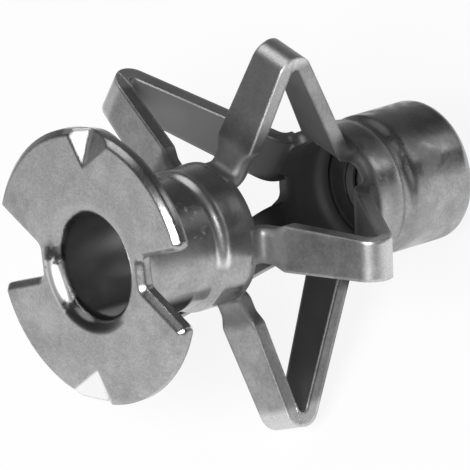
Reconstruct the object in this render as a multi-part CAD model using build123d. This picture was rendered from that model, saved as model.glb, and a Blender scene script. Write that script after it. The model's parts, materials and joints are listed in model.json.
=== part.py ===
import os
from math import asin, atan2, cos, degrees, hypot, pi, radians, sin, tan

from build123d import *

os.makedirs("parts", exist_ok=True)

# Hollow wall anchor with its legs folded out, in millimetres.
# It is built with its axis upright and the flange's wall face at zero, so the legs and the barrel lie above.
# Angles round the axis are clock angles, counted from the leg that ends up on top.

# sheet the sleeve is formed from
sheet_thickness = 1.2
fold_radius = 0.5

# flange
flange_radius = 11.35
flange_edge_chamfer = 0.45
lead_in_radius = 1.2

# two notches cut into the flange
notch_angles = (55.0, 235.0)
notch_mouth_angle = 35.0
notch_floor_angle = 23.0
notch_radius = 6.3
notch_mouth_radius = 0.6
notch_corner_radius = 0.55

# two barbs pressed back at the flange's rim
barb_angles = (151.0, 331.0)
barb_valley_angle = 10.0
barb_apex_angle = 9.5
barb_width_angle = 28.0
barb_apex_radius = 8.3
barb_depth = 1.15
barb_draw_angle = 14.0

# front collar: a narrow throat that swells to the full sleeve
throat_radius = 5.45
shoulder_start = 7.7
shoulder_length = 0.9
collar_length = 11.7

# rear barrel with its rolled groove and turned-in lip
sleeve_radius = 5.9
barrel_start = 24.0
barrel_end = 36.2
slot_end = 25.1
slot_end_width = 1.9
slot_end_radius = 0.85
slot_rounding_share = 0.95
groove_place = 28.8
groove_width = 1.6
groove_flank = 0.45
groove_depth = 0.35
lip_bore_radius = 3.7
barrel_end_radius = 0.9

# legs
leg_count = 5
tip_reach = 18.0
tip_place = 15.6
leg_neck_width = 2.9
leg_root_width = 3.9
leg_tip_width = 3.2
leg_rear_width = 4.4
leg_neck_length = 1.1
leg_shoulder_length = 1.0
leg_shoulder_radius = 0.8
root_fold_share = 0.8
rear_fold_radius = 1.0
rear_fold_share = 0.88
root_flare_share = 0.5

# the five legs did not fold quite alike
reach_shares = (0.95, 0.97, 1.023, 1.023, 1.032)
place_shares = (1.017, 0.99, 0.965, 0.965, 0.958)
swing_angles = (0.6, 1.1, 1.8, -1.8, -3.8)

# nut
thread_minor_radius = 2.5
thread_lead_in = 0.5
nut_edge_chamfer = 0.3
nut_side_clearance = 0.05
nut_front_clearance = 0.05

# overrun of every cut, and rounds of closing in on the rest angle
overrun = 1.0
rest_rounds = 6

# fitted sizes
bore_radius = throat_radius - sheet_thickness
barrel_bore_radius = sleeve_radius - sheet_thickness
mid_radius = sleeve_radius - sheet_thickness / 2
mid_fold_radius = fold_radius + sheet_thickness / 2
mid_rear_fold_radius = rear_fold_radius + sheet_thickness / 2
lip_inner_face = barrel_end - sheet_thickness
root_corner = collar_length + root_fold_share * mid_fold_radius
rear_corner = slot_end - rear_fold_share * mid_rear_fold_radius
nut_front = groove_place + groove_width / 2 + nut_front_clearance
lowest_leg = leg_count // 2


def outward(clock):
    # unit vector across the axis at a clock angle
    return Vector(sin(radians(clock)), -cos(radians(clock)), 0)


def along(clock):
    # unit vector round the axis, the way the clock angle grows
    return Vector(cos(radians(clock)), sin(radians(clock)), 0)


def turned(*outline):
    # solid of revolution from an outline of radius and height
    return revolve(Plane.XZ * make_face(outline), Axis.Z)


def pressed_blank():
    # flange disc and collar as turned, before the notches are cut
    front = -sheet_thickness
    swell_end = shoulder_start + shoulder_length
    swell_middle = shoulder_start + shoulder_length / 2
    lead_top = front + lead_in_radius
    bend_start = throat_radius + fold_radius
    outer_swell = Bezier(
        (sleeve_radius, swell_end),
        (sleeve_radius, swell_middle),
        (throat_radius, swell_middle),
        (throat_radius, shoulder_start),
    )
    return turned(
        Line((flange_radius, front), (bore_radius + lead_in_radius, front)),
        CenterArc((bore_radius + lead_in_radius, lead_top), lead_in_radius, 270, -90),
        Line((bore_radius, lead_top), (bore_radius, shoulder_start)),
        Line((bore_radius, shoulder_start), (barrel_bore_radius, swell_end)),
        Line((barrel_bore_radius, swell_end), (barrel_bore_radius, collar_length)),
        Line((barrel_bore_radius, collar_length), (sleeve_radius, collar_length)),
        Line((sleeve_radius, collar_length), (sleeve_radius, swell_end)),
        outer_swell,
        Line((throat_radius, shoulder_start), (throat_radius, fold_radius)),
        Line((throat_radius, fold_radius), (bend_start, 0)),
        Line((bend_start, 0), (flange_radius, 0)),
        Line((flange_radius, 0), (flange_radius, front)),
    )


def notch(start):
    # one side of the notch runs straight out, the other slants open towards the rim
    mouth = flange_radius + overrun
    corners = [
        outward(start) * notch_radius,
        outward(start) * mouth,
        outward(start + notch_mouth_angle) * mouth,
        outward(start + notch_floor_angle) * notch_radius,
    ]
    outline = make_face(Polyline(*corners, close=True))
    floor_corners = outline.vertices().sort_by(lambda v: Vector(v).length)[:2]
    outline = fillet(floor_corners, notch_corner_radius)
    return extrude(Pos(Z=-sheet_thickness - overrun) * outline, sheet_thickness + 2 * overrun)


def three_sided(apex, corners):
    # hollow that deepens from an apex on the flange's front face to a triangle past the rim
    mouth = make_face(Polyline(*corners, close=True))
    return Pos(Z=-sheet_thickness) * loft([mouth, Vertex(*apex)], ruled=True)


def barb(start):
    # the hollow pressed into the front, steeper on one side, and the same grown by the sheet for the back
    apex = outward(start + barb_apex_angle) * barb_apex_radius
    rim = [
        outward(start) * flange_radius,
        outward(start + barb_valley_angle) * flange_radius + Vector(0, 0, barb_depth),
        outward(start + barb_width_angle) * flange_radius,
    ]
    past_rim_share = 1 + overrun / (flange_radius - barb_apex_radius)
    corners = [apex + (corner - apex) * past_rim_share for corner in rim]
    steep, valley, gentle = corners
    steep_length = (valley - steep).length
    slope_length = steep_length + (gentle - valley).length
    middle = steep + (gentle - steep) * (steep_length / slope_length)
    mouth_depth = barb_depth * past_rim_share
    growth_share = 1 + sheet_thickness / mouth_depth * slope_length / (gentle - steep).length
    grown = [middle + (corner - middle) * growth_share for corner in (apex, *corners)]
    return three_sided(apex, corners), three_sided(grown[0], grown[1:])


def flange_and_collar():
    body = pressed_blank()
    for start in notch_angles:
        body -= notch(start)
    inside_rim = (flange_radius + notch_radius) / 2
    upright_edges = body.edges().filter_by(Axis.Z)
    mouth_edges = [e for e in upright_edges if hypot((e @ 0).X, (e @ 0).Y) > inside_rim]
    body = fillet(mouth_edges, notch_mouth_radius)
    front_edges = body.faces().sort_by(Axis.Z)[0].outer_wire().edges()
    body = chamfer(front_edges, flange_edge_chamfer)
    # the rim draws in a little where the sheet is pressed back
    behind = extrude(Circle(flange_radius), collar_length, taper=barb_draw_angle)
    for start in barb_angles:
        hollow, boss = barb(start)
        body += boss & behind
        body -= hollow
    return body


def groove(surface_radius):
    # rolled groove as it shows on the outside or inside wall, given in order of height
    start = groove_place - groove_width / 2
    end = groove_place + groove_width / 2
    floor = surface_radius - groove_depth
    return [
        (surface_radius, start),
        (floor, start + groove_flank),
        (floor, end - groove_flank),
        (surface_radius, end),
    ]


def slot(clock):
    # gap between two legs, narrowing to a rounded end in the barrel
    gap_angle = pi / leg_count - asin(leg_rear_width / 2 / sleeve_radius)
    mouth = sleeve_radius * sin(gap_angle)
    end = slot_end_width / 2
    corners = [
        (-mouth, barrel_start - overrun),
        (mouth, barrel_start - overrun),
        (mouth, barrel_start),
        (end, slot_end),
        (-end, slot_end),
        (-mouth, barrel_start),
    ]
    outline = make_face(Polyline(*corners, close=True))
    # the two end corners are rounded no further than the slot's end has room for
    corner_angle = pi / 2 + atan2(mouth - end, slot_end - barrel_start)
    rounding = min(slot_end_radius, slot_rounding_share * end * tan(corner_angle / 2))
    outline = fillet(outline.vertices().sort_by(Axis.Y)[-2:], rounding)
    wall = Plane(origin=outward(clock) * mid_radius, x_dir=along(clock), z_dir=outward(clock))
    return extrude(wall * outline, sheet_thickness / 2 + overrun, both=True)


def barrel():
    end_start = barrel_end - barrel_end_radius
    outside = [(sleeve_radius, barrel_start), *groove(sleeve_radius), (sleeve_radius, end_start)]
    inside = [outside[0], (barrel_bore_radius, barrel_start), *groove(barrel_bore_radius)]
    lip = [
        (barrel_bore_radius, lip_inner_face),
        (lip_bore_radius, lip_inner_face),
        (lip_bore_radius, barrel_end),
        (sleeve_radius - barrel_end_radius, barrel_end),
    ]
    rounding = CenterArc((sleeve_radius - barrel_end_radius, end_start), barrel_end_radius, 0, 90)
    body = turned(Polyline(*outside), rounding, Polyline(*inside, *lip))
    for i in range(leg_count):
        body -= slot((i + 1 / 2) * 360 / leg_count)
    return body


def leg_outline(half_widths):
    # symmetrical outline across the axis from pairs of radius and half width
    right = [(half, radius) for radius, half in half_widths]
    left = [(-half, radius) for radius, half in reversed(half_widths)]
    return make_face(Polyline(*right, *left, close=True))


def leg_strip(side, reach, place):
    # the sheet's path from collar to tip and back to the barrel, seen from the side
    path = FilletPolyline(
        (mid_radius, collar_length - fold_radius),
        (mid_radius, root_corner),
        (reach, place),
        (mid_radius, rear_corner),
        (mid_radius, slot_end + fold_radius),
        radius=(mid_fold_radius, mid_fold_radius, mid_rear_fold_radius),
    )
    return extrude(side * trace(path, sheet_thickness), leg_rear_width, both=True)


def leg_widths(across, reach, place):
    # what the strip is cut to, seen along the axis: a neck and shoulders in front, a plain taper behind
    neck_end = sleeve_radius + leg_neck_length
    rim = reach + overrun
    front = leg_outline(
        (
            (0, leg_neck_width / 2),
            (neck_end, leg_neck_width / 2),
            (neck_end + leg_shoulder_length, leg_root_width / 2),
            (rim, leg_tip_width / 2),
        )
    )
    front = fillet(front.vertices().sort_by(Axis.Y)[2:-2], leg_shoulder_radius)
    rear = leg_outline(
        (
            (0, leg_rear_width / 2),
            (sleeve_radius, leg_rear_width / 2),
            (rim, leg_tip_width / 2),
        )
    )
    return extrude(across * front, place) + extrude(across.offset(place) * rear, barrel_end - place)


def leg_envelope(reach):
    # space the legs keep to, so that their flat roots run down into the round barrel
    rim = reach + overrun
    flare_start = slot_end - root_flare_share * (rim - sleeve_radius)
    outline = Polyline(
        (0, 0),
        (rim, 0),
        (rim, flare_start),
        (sleeve_radius, slot_end),
        (sleeve_radius, barrel_end),
        (0, barrel_end),
        close=True,
    )
    return turned(outline)


def leg(index):
    clock = index * 360 / leg_count + swing_angles[index]
    reach = tip_reach * reach_shares[index]
    place = tip_place * place_shares[index]
    side = Plane(origin=(0, 0, 0), x_dir=outward(clock), z_dir=-along(clock))
    across = Plane(origin=(0, 0, 0), x_dir=-along(clock), z_dir=(0, 0, 1))
    return leg_strip(side, reach, place) & leg_widths(across, reach, place) & leg_envelope(reach)


def sleeve():
    body = flange_and_collar() + barrel()
    for i in range(leg_count):
        body += leg(i)
    return body


def nut():
    outer = barrel_bore_radius - nut_side_clearance
    mouth = thread_minor_radius + thread_lead_in
    rear = lip_inner_face
    outline = Polyline(
        (thread_minor_radius, nut_front + thread_lead_in),
        (mouth, nut_front),
        (outer - nut_edge_chamfer, nut_front),
        (outer, nut_front + nut_edge_chamfer),
        (outer, rear - nut_edge_chamfer),
        (outer - nut_edge_chamfer, rear),
        (mouth, rear),
        (thread_minor_radius, rear - thread_lead_in),
        close=True,
    )
    return turned(outline)


def resting_angle():
    # tilt of the axis, in degrees, at which the two lowest folds and the barrel's end share one level
    reach = tip_reach * reach_shares[lowest_leg]
    place = tip_place * place_shares[lowest_leg]
    rise = atan2(place - root_corner, reach - mid_radius)
    fall = atan2(rear_corner - place, reach - mid_radius)
    inset = mid_fold_radius / sin((rise + fall) / 2)
    fold_reach = reach - inset * cos((fall - rise) / 2)
    fold_place = place + inset * sin((fall - rise) / 2)
    fold_outer = fold_radius + sheet_thickness
    lean = radians(180 - lowest_leg * 360 / leg_count - swing_angles[lowest_leg])
    drop = fold_reach * cos(lean) + leg_tip_width / 2 * sin(lean) - (sleeve_radius - barrel_end_radius)
    run = barrel_end - barrel_end_radius - fold_place
    tilt = atan2(drop, run)
    for _ in range(rest_rounds):
        fold_drop = fold_outer * hypot(cos(tilt) * cos(lean), sin(tilt))
        tilt = atan2(drop + (fold_drop - barrel_end_radius) / cos(tilt), run)
    return degrees(tilt)


# lying on the two lowest folds and the barrel's end
lying = Rot(X=-90 - resting_angle())

export_step(lying * sleeve(), "parts/sleeve.step")
export_step(lying * nut(), "parts/nut.step")
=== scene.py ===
import json
import math

import bpy
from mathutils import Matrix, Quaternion, Vector


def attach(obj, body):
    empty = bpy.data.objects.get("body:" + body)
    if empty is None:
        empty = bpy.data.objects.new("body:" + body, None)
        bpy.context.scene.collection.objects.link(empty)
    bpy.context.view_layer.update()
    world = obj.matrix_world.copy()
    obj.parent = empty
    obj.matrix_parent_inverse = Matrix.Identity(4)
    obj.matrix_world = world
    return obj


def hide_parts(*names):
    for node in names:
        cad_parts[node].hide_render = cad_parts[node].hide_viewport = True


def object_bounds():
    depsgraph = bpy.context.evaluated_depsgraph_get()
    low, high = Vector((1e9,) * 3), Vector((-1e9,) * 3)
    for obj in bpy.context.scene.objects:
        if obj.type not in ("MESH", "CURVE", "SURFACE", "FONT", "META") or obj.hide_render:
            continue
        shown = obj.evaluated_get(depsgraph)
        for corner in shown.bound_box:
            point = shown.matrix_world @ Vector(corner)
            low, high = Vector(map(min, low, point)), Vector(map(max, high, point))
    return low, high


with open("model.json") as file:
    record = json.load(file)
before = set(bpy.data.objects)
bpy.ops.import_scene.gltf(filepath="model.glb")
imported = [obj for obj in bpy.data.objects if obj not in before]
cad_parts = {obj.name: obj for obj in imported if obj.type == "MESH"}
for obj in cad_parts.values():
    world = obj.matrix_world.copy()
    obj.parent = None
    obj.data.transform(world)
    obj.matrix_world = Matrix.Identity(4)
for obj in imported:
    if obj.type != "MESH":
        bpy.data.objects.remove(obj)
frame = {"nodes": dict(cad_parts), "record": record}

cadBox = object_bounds()
scene = bpy.context.scene
scene.view_settings.view_transform = "Standard"
print("frame loaded:", sorted(frame["nodes"]))

# the anchor's own axis, from the flange into the wall, and the ways across it
mounts = {m["name"]: m for m in frame["record"]["mounts"]}
boreAxis = -Vector(mounts["screw_bore"]["axis"])
sideWay = Vector((1, 0, 0))
topWay = sideWay.cross(boreAxis).normalized()  # the top leg points this way
mmPerMetre = 1000
coolCast = 1.004  # blue against red in every grey


class Wire:
    # one socket of a node tree, with sums written as plain expressions
    def __init__(self, tree, socket=None):
        self.tree = tree
        self.socket = socket

    def node(self, kind, settings=None, sockets=None, out=0):
        made = self.tree.nodes.new("ShaderNode" + kind)
        for name, value in (settings or {}).items():
            setattr(made, name, value)
        for name, value in (sockets or {}).items():
            if isinstance(value, Wire):
                self.tree.links.new(value.socket, made.inputs[name])
            else:
                made.inputs[name].default_value = value
        return Wire(self.tree, made.outputs[out]) if made.outputs else None

    def beside(self, out):
        # another output of the same node
        return Wire(self.tree, self.socket.node.outputs[out])

    def sums(self, operation, first, second):
        return self.node("Math", {"operation": operation}, {0: first, 1: second})

    def __add__(self, other):
        return self.sums("ADD", self, other)

    def __radd__(self, other):
        return self.sums("ADD", other, self)

    def __sub__(self, other):
        return self.sums("SUBTRACT", self, other)

    def __rsub__(self, other):
        return self.sums("SUBTRACT", other, self)

    def __mul__(self, other):
        return self.sums("MULTIPLY", self, other)

    def __rmul__(self, other):
        return self.sums("MULTIPLY", other, self)

    def step(self, start, end):
        # smooth rise from 0 to 1 between two values
        return self.node("MapRange", {"interpolation_type": "SMOOTHSTEP"},
                         {"Value": self, "From Min": start, "From Max": end})

    def clear(self):
        # held between 0 and 1
        return self.node("Clamp", None, {"Value": self})

    def vec(self, operation, other=None, out=0):
        sockets = {0: self} if other is None else {0: self, 1: other}
        return self.node("VectorMath", {"operation": operation}, sockets, out)

    def dot(self, other):
        return self.vec("DOT_PRODUCT", other, "Value")

    def mix(self, factor, first, second):
        return self.node("Mix", {"data_type": "RGBA"}, {0: factor, 6: first, 7: second}, 2)


def newMaterial(name):
    mat = bpy.data.materials.new(name)
    mat.use_nodes = True
    mat.node_tree.nodes.clear()
    return mat, Wire(mat.node_tree)


def grey(level):
    return (level, level, level * coolCast, 1)


def clockWay(clock):
    # the way out from the axis at a clock angle in degrees, counted from the top leg
    turn = math.radians(clock)
    return sideWay * math.sin(turn) + topWay * math.cos(turn)


def anchorPlaces(w):
    # position, distance along the axis, vector out from it and distance off it, all in millimetres
    place = w.node("VectorMath", {"operation": "SCALE"},
                   {0: w.node("TexCoord", out="Object"), "Scale": mmPerMetre})
    along = place.dot(boreAxis)
    onAxis = w.node("VectorMath", {"operation": "SCALE"}, {0: boreAxis, "Scale": along})
    across = place.vec("SUBTRACT", onAxis)
    return {"place": place, "along": along, "across": across, "off": across.vec("LENGTH", out="Value")}


def noise(w, place, scale, detail, rough, warp=0.0, stretch=None, cut=None, out=0):
    # clouds of a scale per millimetre, stretched or cut to patches where asked
    if stretch:
        place = place.vec("MULTIPLY", stretch)
    cloud = w.node("TexNoise", None, {
        "Vector": place, "Scale": scale, "Detail": detail, "Roughness": rough, "Distortion": warp}, out)
    return cloud.step(*cut) if cut else cloud


def weigh(masks, shares):
    # a base value plus a share of each named mask
    total = shares["base"]
    for name, share in shares.items():
        if name != "base":
            total = total + masks[name] * share
    return total


# bright zinc over formed sheet, dulled on the legs where they were bent, with painted highlights on the
# lead-in, barbs, shoulder and leg folds, painted shade in the necks, hollows, bore and barrel, and a
# painted shadow under the throat
sleeveFinish = {
    "bevels": {"fine": 0.0004, "wide": 0.0010, "samples": 8},
    # each zone fades in from one distance to the next, in mm along the axis from the flange or off it
    "zones": {
        "leg": (("off", 6.2, 7.4), ("along", 10.0, 11.6)),
        "legFold": (("off", 15.1, 16.0),),
        "legFront": (("along", 17.0, 15.6),),
        "legOuter": (("off", 9.0, 11.5),),
        "legRoot": (("off", 11.0, 8.5),),
        "rearRun": (("along", 16.5, 19.0),),
        "deepRun": (("along", 14.8, 16.0),),
        "paleRun": (("along", 14.6, 15.6),),
        "pastFlange": (("along", -0.2, 0.3),),
        "withinRim": (("off", 10.6, 10.2),),
        "barbFacet": (("off", 8.2, 8.8), ("along", -1.17, -1.05), ("along", 0.6, 0.2)),
        "leadIn": (("off", 5.6, 5.3), ("along", 0.1, -0.3)),
        "boreRun": (("off", 4.6, 4.4), ("along", 8.6, 7.0)),
        "throat": (("along", 1.0, 2.0), ("along", 7.6, 6.8), ("off", 5.9, 5.7)),
        "frontThroat": (("along", 0.1, 0.5), ("along", 6.2, 5.7), ("off", 6.2, 6.0)),
        "shoulder": (("along", 7.5, 7.9), ("along", 9.0, 8.5), ("off", 6.4, 6.1)),
        "collar": (("along", 0.8, 1.6), ("along", 12.2, 11.6), ("off", 6.4, 6.2)),
        "neck": (("off", 8.6, 7.6), ("along", 10.8, 11.4), ("along", 14.4, 13.6)),
        "tube": (("off", 7.4, 6.4),),
        "barrelFront": (("off", 8.4, 7.0), ("along", 21.5, 23.2), ("along", 25.9, 25.2)),
        # the barrel's inside, which the coats darken with painted shade
        "inside": (("off", 4.95, 4.8), ("along", 22.0, 23.5)),
        "barrel": (("along", 25.2, 26.0), ("off", 6.5, 6.2), ("off", 5.0, 5.3)),
        "groove": (("off", 6.5, 6.2), ("along", 26.9, 27.5), ("along", 30.7, 30.1)),
    },
    # clock angles in degrees with half their widths, and the share of that half over which they fade
    "sectors": {
        # the top leg's front and the pale leg's rear take painted sheen; the dark rear, the barrel's top,
        # the collar's upper side and the throat's underside painted shade; the barbs, ridges and dimples
        # painted highlights
        "paleFront": (0, 18), "paleRear": (288, 24), "darkRear": (72, 16), "barrelTop": (345, 35),
        "topBarb": (336, 7), "lowBarb": (169, 11), "sideRidge": (62, 20), "topRidge": (10, 45),
        "dimpleSide": (36, 20), "streakSide": (30, 40), "underSide": (140, 33),
    },
    # round the lead-in: a painted highlight on one side, a darker patch beside it and painted shade along
    # its lower side
    "raggedSectors": {"rubbedSide": (226, 22), "stainSide": (256, 9), "stainLow": (160, 42)},
    "sectorFade": 0.25,
    "ragged": {"scale": 1.3, "detail": 4, "rough": 0.65}, "raggedShift": 0.7,
    # how far a face turns to the axis, how far the rounding turns an edge, and how much of the painted
    # shade on the rear runs and the mouth the pale leg keeps off
    "inwardFacing": (-0.15, -0.6), "edgeTurn": (0.03, 0.22), "paleKeep": {"rear": 0.8, "mouth": 0.6},
    "noises": {
        "smudge": {"scale": 0.28, "detail": 4, "rough": 0.6, "warp": 0.6},
        "speck": {"scale": 3.2, "detail": 3, "rough": 0.6},
        "grain": {"scale": 6.5, "detail": 2, "rough": 0.7},
        "stain": {"scale": 0.30, "detail": 5, "rough": 0.62, "warp": 0.8, "cut": (0.50, 0.74)},
        "rub": {"scale": 0.40, "detail": 4, "rough": 0.58, "warp": 0.3, "cut": (0.36, 0.68)},
        "patch": {"scale": 0.42, "detail": 3, "rough": 0.5, "warp": 0.5, "cut": (0.38, 0.62)},
        "dimple": {"scale": 1.1, "detail": 4, "rough": 0.7, "warp": 1.0, "cut": (0.54, 0.68)},
        "scratch": {"scale": 0.8, "detail": 3, "rough": 0.6, "stretch": (0.35, 1.0, 5.0),
                    "cut": (0.60, 0.74)},
    },
    "rings": {"scale": 1.0, "detail": 3, "rough": 0.6}, "ringsPerMm": 7.0, "ringWaver": 0.6,
    # what masks are made of: a base and a share of others
    "cloud": {"base": -0.37, "rub": 0.45, "speck": 1.3},
    "tarnish": {"base": 0.0, "stain": 0.35, "scratch": 0.25},
    # painted shade on the collar's upper side, broken up by the stain and rub clouds
    "streaks": {"base": 0.34, "stain": 0.3, "rub": 0.25},
    # painted highlights: one side of the lead-in, both barbs' facets, the shoulder's ridge and glints on
    # the dimples
    "bright": {"base": 0.0, "rubbedSide": 1.0, "topBarbFacet": 1.0, "lowBarbFacet": 1.0, "sideRidge": 0.9,
               "topRidge": 0.35, "dimple": 0.8},
    "gritFrom": 0.36,
    # darkest and palest tone, where one clouds into the other; the bore's and the inner faces' tones are
    # painted shade
    "plateTones": (0.3471, 0.5340), "legTones": (0.2590, 0.4588), "boreTones": (0.2480, 0.3720),
    "innerTones": (0.13, 0.221),
    # coats in the order they lie: mask, share, tone or the name of a clouded one
    # on the top leg's front: painted sheen toward its outer end and painted shade at its root, then stains
    "legCoats": (("highFront", 0.70, 0.555), ("lowFront", 0.85, 0.13), ("stain", 0.40, 0.26)),
    # painted among these: highlights on the tips and the highlight mask; sheen on the pale leg; shade on
    # the necks, barrel top, throat's underside, collar side, lead-in's lower side, inward faces, pale leg's
    # edges, bore, rear runs, dark rear run and barrel inside
    "coats": (
        ("tarnish", 1.0, 0.26), ("leg", 0.85, "legs"), ("tip", 0.80, 0.82), ("grit", 1.0, 0.182),
        # the neck's coat is painted shade where the legs leave the collar
        ("neck", 0.55, 0.156), ("barrelPatch", 0.15, 0.26), ("barrelTop", 0.60, 0.182),
        ("under", 1.0, 0.0225), ("streakCoat", 1.0, 0.13), ("bright", 0.95, 0.96),
        ("stainSide", 0.80, 0.13), ("stainLow", 0.80, 0.13), ("pale", 0.80, 0.60),
        ("inward", 0.90, "inners"), ("paleEdge", 0.80, 0.13), ("boreWall", 1.0, "bore"),
        ("backs", 0.90, 0.09), ("deep", 0.90, 0.045), ("inside", 1.0, 0.16),
    ),
    "roughness": {"base": 0.09, "smudge": 0.16, "speck": 0.06, "grain": 0.06, "stain": 0.06, "leg": 0.13,
                  "inward": 0.14, "mouth": 0.40, "neck": 0.22, "under": 0.5, "edge": 0.22,
                  "rubbedShine": 0.10, "inside": 0.40, "streaked": 0.12, "barrelPatch": 0.20},
    "heights": {"base": 0.0, "speck": 0.25, "ringMarks": 0.6, "smudge": 0.5, "dimple": 1.5},
    "bump": {"Strength": 0.07, "Distance": 0.00008},
}


def sector(outWay, clock, half):
    # 1 near a clock angle, fading out round its half width
    fade = half * sleeveFinish["sectorFade"]
    facing = outWay.dot(clockWay(clock))
    return facing.step(math.cos(math.radians(half + fade)), math.cos(math.radians(half - fade)))


def sleevePlaces(w):
    # the zones, sectors and noises of the sleeve, each a mask from 0 to 1, and the way out from the axis
    f = sleeveFinish
    p = anchorPlaces(w)
    outWay = p["across"].vec("NORMALIZE")
    m = {}
    for name, fades in f["zones"].items():
        m[name] = 1.0
        for way, start, end in fades:
            m[name] = p[way].step(start, end) * m[name]
    for name, spec in f["noises"].items():
        m[name] = noise(w, p["place"], **spec)
    # rings left by rolling the tube
    ringPlace = w.node("CombineXYZ", None, {
        "X": p["along"] * f["ringsPerMm"], "Y": p["off"], "Z": m["smudge"] * f["ringWaver"]})
    m["ringMarks"] = noise(w, ringPlace, **f["rings"]) * m["tube"]
    # sectors with clean borders, and with ragged ones round the lead-in
    for name, (clock, half) in f["sectors"].items():
        m[name] = sector(outWay, clock, half)
    middle = Vector((0.5, 0.5, 0.5))  # of a noise's colour
    shift = noise(w, p["place"], **f["ragged"], out=1).vec("SUBTRACT", middle)
    shift = shift.vec("MULTIPLY", Vector((1, 1, 1)) * f["raggedShift"])
    ragged = outWay.vec("ADD", shift).vec("NORMALIZE")
    for name, (clock, half) in f["raggedSectors"].items():
        m[name] = sector(ragged, clock, half) * m["leadIn"]
    return m, outWay


def sleeveMasks(w):
    # where each coat of the finish lies, and the normal with its edges rounded
    f = sleeveFinish
    m, outWay = sleevePlaces(w)
    bevels = f["bevels"]
    fine = w.node("Bevel", {"samples": bevels["samples"]}, {"Radius": bevels["fine"]})
    wide = w.node("Bevel", {"samples": bevels["samples"]}, {"Radius": bevels["wide"]})
    # faces turned to the axis past the flange, which the coats darken with painted shade
    m["inward"] = outWay.dot(fine).step(*f["inwardFacing"]) * m["pastFlange"]
    # legs: fold with a painted highlight, front run and the sides that face the axis
    m["tip"] = m["legFold"] * m["leg"]
    front = m["paleFront"] * m["legFront"]
    # the top leg's front run: painted sheen toward its outer end, painted shade at its root
    m["highFront"] = front * m["legOuter"]
    m["lowFront"] = front * m["legRoot"]
    # painted sheen on the pale leg's rear run, which also lightens its faces turned to the axis
    m["pale"] = m["paleRear"] * m["leg"] * m["paleRun"]
    # painted shade on the inner face of the dark leg's rear run
    m["deep"] = m["inward"] * m["leg"] * m["darkRear"] * m["deepRun"]
    # tube: bore, barrel, its mouth and the side under the throat; painted shade in the bore, the mouth, on
    # the rear runs' inner faces and the barrel's top, a painted shadow under the throat, and the barrel's
    # own patches
    m["mouth"] = m["barrelFront"] * (1 - m["paleRear"] * f["paleKeep"]["mouth"])
    rear = m["rearRun"] * m["inward"] * (1 - m["paleRear"] * f["paleKeep"]["rear"])
    m["backs"] = (rear + m["mouth"]).clear()
    m["boreWall"] = m["inward"] * m["boreRun"]
    m["barrelPatch"] = m["barrel"] * m["patch"]
    # painted shade on the barrel's top
    m["barrelTop"] = m["barrelTop"] * m["barrel"]
    # painted shadow under the throat, behind the flange
    m["under"] = m["frontThroat"] * m["underSide"]
    # the necks, the barrel's mouth and its groove are rounded more widely than the rest
    rounded = (m["neck"] + m["mouth"] + m["groove"]).clear()
    soft = w.node("Mix", {"data_type": "VECTOR"}, {0: rounded, 4: fine, 5: wide}, 1)
    # worn edges of the legs and notches, rougher; on the pale leg also darkened with painted shade that
    # dims their highlights
    turned = 1 - soft.dot(w.node("NewGeometry", out="True Normal"))
    m["edge"] = turned.step(*f["edgeTurn"]) * (m["leg"] + m["withinRim"]).clear()
    m["paleEdge"] = m["edge"] * m["pale"]
    # painted highlights: one side of the lead-in, both barbs' facets, the shoulder's ridge and glints on
    # the throat's dimples
    m["dimple"] = m["dimple"] * m["throat"] * m["dimpleSide"]
    for name in ("topBarb", "lowBarb"):
        m[name + "Facet"] = m[name] * m["barbFacet"]
    for name in ("sideRidge", "topRidge"):
        m[name] = m[name] * m["shoulder"]
    m["bright"] = weigh(m, f["bright"]).clear()
    m["rubbedShine"] = m["leadIn"] * m["bright"]
    # clouding and dirt, and painted shade streaked over the collar's upper side
    plain = 1 - m["bright"]
    m["cloud"] = weigh(m, f["cloud"]).clear()
    m["tarnish"] = weigh(m, f["tarnish"]).clear()
    m["grit"] = (m["grain"] - f["gritFrom"]).clear() * plain
    m["streaked"] = m["collar"] * m["streakSide"] * plain
    m["streakCoat"] = m["streaked"] * weigh(m, f["streaks"])
    return m, soft


def layCoats(w, m, tone, coats, clouded):
    for mask, share, shade in coats:
        coat = clouded[shade] if shade in clouded else grey(shade)
        tone = w.mix(m[mask] * share, tone, coat)
    return tone


def plateSleeve():
    f = sleeveFinish
    mat, w = newMaterial("zincSheet")
    m, soft = sleeveMasks(w)

    def clouded(mask, tones):
        return w.mix(m[mask], *[grey(tone) for tone in tones])

    legs = layCoats(w, m, clouded("cloud", f["legTones"]), f["legCoats"], {})
    inners = clouded("pale", f["innerTones"])
    bore = clouded("smudge", f["boreTones"])
    tone = layCoats(w, m, clouded("cloud", f["plateTones"]), f["coats"],
                    {"legs": legs, "inners": inners, "bore": bore})
    bump = w.node("Bump", None, {**f["bump"], "Height": weigh(m, f["heights"]), "Normal": soft})
    surface = w.node("BsdfPrincipled", None, {
        "Base Color": tone, "Metallic": 1.0, "Roughness": weigh(m, f["roughness"]).clear(), "Normal": bump})
    w.node("OutputMaterial", None, {"Surface": surface})
    return mat


zincSheet = plateSleeve()
for slotIn in frame["nodes"]["sleeve"].material_slots:
    slotIn.material = zincSheet
print("sleeve finished")

# round nut with its thread: shape in millimetres, finish dull, and darkened with painted shade as it sits
# inside the barrel
nutMake = {
    "edge": 0.3, "leadIn": 0.5, "major": 3.0, "pitch": 1.0, "crest": 1.25, "flank": 3.4,
    "sides": 72, "rows": 108,
    # these tones are painted shade for the nut's place inside the barrel
    "tones": (0.05, 0.08), "clouds": {"scale": 0.8, "detail": 4, "rough": 0.6},
    "roughness": {"base": 0.62, "clouds": 0.2},
    "turning": {"scale": 1.0, "detail": 2, "rough": 0.55}, "turningAlong": 0.4, "turningOff": 9.0,
    "bump": {"Strength": 0.12, "Distance": 0.00006},
}


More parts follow.
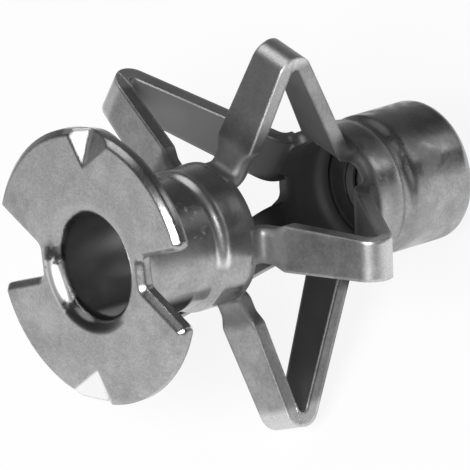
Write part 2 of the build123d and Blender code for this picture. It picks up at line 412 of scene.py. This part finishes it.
def threadedNut():
    n = nutMake
    # length and outside from the solid nut, and the hole from its mount
    solid = [v.co * mmPerMetre for v in frame["nodes"]["nut"].data.vertices]
    front = min(p.dot(boreAxis) for p in solid)
    rear = max(p.dot(boreAxis) for p in solid)
    outside = max((p - boreAxis * p.dot(boreAxis)).length for p in solid)
    minor = mounts["nut_thread"]["dims"]["r_mm"]
    points = []
    faces = []

    def ring(z, radius):
        start = len(points)
        for i in range(n["sides"]):
            clock = 360 * i / n["sides"]
            points.append((boreAxis * z + clockWay(clock) * radius(clock)) / mmPerMetre)
        return start

    def bored(z):
        # sharp-sided thread that fades into the mouths
        mouth = max(n["leadIn"] - (z - front), n["leadIn"] - (rear - z), 0)

        def radius(clock):
            phase = ((z - front) / n["pitch"] - clock / 360) % 1.0
            depth = min(1.0, max(0.0, n["crest"] - abs(phase - 0.5) * n["flank"]))
            return minor + max(mouth, depth * (n["major"] - minor))
        return radius

    rings = []
    for k in range(n["rows"] + 1):
        z = front + (rear - front) * k / n["rows"]
        rings.append(ring(z, bored(z)))
    for z, radius in ((rear, outside - n["edge"]), (rear - n["edge"], outside),
                      (front + n["edge"], outside), (front, outside - n["edge"])):
        rings.append(ring(z, lambda clock: radius))
    for a, b in zip(rings, rings[1:] + rings[:1]):
        for i in range(n["sides"]):
            j = (i + 1) % n["sides"]
            faces.append((a + i, b + i, b + j, a + j))
    mesh = bpy.data.meshes.new("nutThreaded")
    mesh.from_pydata(points, [], faces)
    mesh.validate()
    made = bpy.data.objects.new("nutThreaded", mesh)
    scene.collection.objects.link(made)
    return made


def plateNut():
    n = nutMake
    mat, w = newMaterial("zincNut")
    p = anchorPlaces(w)
    m = {"clouds": noise(w, p["place"], **n["clouds"])}
    # fine rings left by turning
    turned = w.node("CombineXYZ", None, {
        "X": p["along"] * n["turningAlong"], "Y": p["off"] * n["turningOff"]})
    bump = w.node("Bump", None, {**n["bump"], "Height": noise(w, turned, **n["turning"])})
    surface = w.node("BsdfPrincipled", None, {
        "Base Color": w.mix(m["clouds"], *[grey(tone) for tone in n["tones"]]), "Metallic": 1.0,
        "Roughness": weigh(m, n["roughness"]), "Normal": bump})
    w.node("OutputMaterial", None, {"Surface": surface})
    return mat


nut = threadedNut()
nut.data.materials.append(plateNut())
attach(nut, "root")
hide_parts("nut")
print("nut threaded:", len(nut.data.polygons), "faces")

# pale table, white to the camera and to gloss, which sees it shaded on the far side
table = {"size": 3.0, "tone": 0.80, "whiteShare": 0.90,
         "litWay": -30.0, "litFade": (-0.2, 0.2), "shadeAt": (-0.03, 0.06, 0), "shade": 0.30}


def layTable():
    t = table
    half = t["size"] / 2
    low = cadBox[0].z
    mesh = bpy.data.meshes.new("tableTop")
    corners = [(-half, -half, low), (half, -half, low), (half, half, low), (-half, half, low)]
    mesh.from_pydata(corners, [], [(0, 1, 2, 3)])
    top = bpy.data.objects.new("tableTop", mesh)
    scene.collection.objects.link(top)
    mat, w = newMaterial("paleTable")
    camera = w.node("LightPath", out="Is Camera Ray")
    seen = camera + camera.beside("Is Glossy Ray") + camera.beside("Is Transmission Ray")
    level = w.node("TexCoord", out="Object").vec("MULTIPLY", (1, 1, 0))
    turn = math.radians(t["litWay"])
    litWay = (math.cos(turn), math.sin(turn), 0)
    lit = level.vec("SUBTRACT", t["shadeAt"]).vec("NORMALIZE").dot(litWay).step(*t["litFade"])
    shine = (camera + t["shade"] + (1 - t["shade"]) * lit).clear()
    paint = w.node("BsdfDiffuse", None, {"Color": grey(t["tone"])})
    white = w.node("Emission", None, {"Color": shine, "Strength": 1.0})
    surface = w.node("MixShader", None, {0: seen.clear() * t["whiteShare"], 1: paint, 2: white})
    w.node("OutputMaterial", None, {"Surface": surface})
    mesh.materials.append(mat)


layTable()

# dim room, darker overhead, with a soft lamp by the camera, one at the side and a weak one behind
room = {"level": 0.17, "high": 0.08, "highFrom": 0.6}
lamps = [
    {"name": "cameraLamp", "way": (0.36, -0.60, 0.71), "far": 0.55, "size": 0.24, "watts": 4.0},
    {"name": "sideLamp", "way": (-0.60, -0.02, 0.80), "far": 0.50, "size": 0.36, "watts": 0.35},
    {"name": "backLamp", "way": (0.274, 0.888, 0.369), "far": 0.50, "size": 0.18, "watts": 0.07},
]


def lightRoom():
    world = bpy.data.worlds.new("dimRoom")
    world.use_nodes = True
    world.node_tree.nodes.clear()
    w = Wire(world.node_tree)
    up = w.node("SeparateXYZ", None, {0: w.node("TexCoord", out="Generated")}, "Z")
    dim = room["level"] + (room["high"] - room["level"]) * up.step(0.0, room["highFrom"])
    w.node("OutputWorld", None, {"Surface": w.node("Background", None, {"Color": dim, "Strength": 1.0})})
    scene.world = world
    middle = (cadBox[0] + cadBox[1]) / 2
    for lamp in lamps:
        light = bpy.data.lights.new(lamp["name"], "AREA")
        light.shape = "DISK"
        light.size = lamp["size"]
        light.energy = lamp["watts"]
        holder = bpy.data.objects.new(lamp["name"], light)
        way = Vector(lamp["way"]).normalized()
        holder.location = middle + way * lamp["far"]
        holder.rotation_mode = "QUATERNION"
        holder.rotation_quaternion = (-way).to_track_quat("-Z", "Y")
        scene.collection.objects.link(holder)


lightRoom()
print("table and lamps set")

# camera as the photograph was taken
shot = {"aim": (0.00646, 0.00898, 0.00038), "azimuth": 57.93, "elevation": 45.30, "roll": 13.78,
        "far": 0.72045, "lens": 689.4, "sensor": 36, "clip": (0.05, 10)}


def placeCamera():
    azimuth = math.radians(shot["azimuth"])
    elevation = math.radians(shot["elevation"])
    level = Vector((math.sin(azimuth), -math.cos(azimuth), 0))
    back = level * math.cos(elevation) + Vector((0, 0, math.sin(elevation)))
    data = bpy.data.cameras.new("shot")
    data.lens = shot["lens"]
    data.sensor_width = shot["sensor"]
    data.clip_start, data.clip_end = shot["clip"]
    camera = bpy.data.objects.new("shot", data)
    camera.location = Vector(shot["aim"]) + back * shot["far"]
    camera.rotation_mode = "QUATERNION"
    roll = Quaternion((0, 0, 1), -math.radians(shot["roll"]))
    camera.rotation_quaternion = (-back).to_track_quat("-Z", "Y") @ roll
    scene.collection.objects.link(camera)
    scene.camera = camera


placeCamera()
print("camera set")
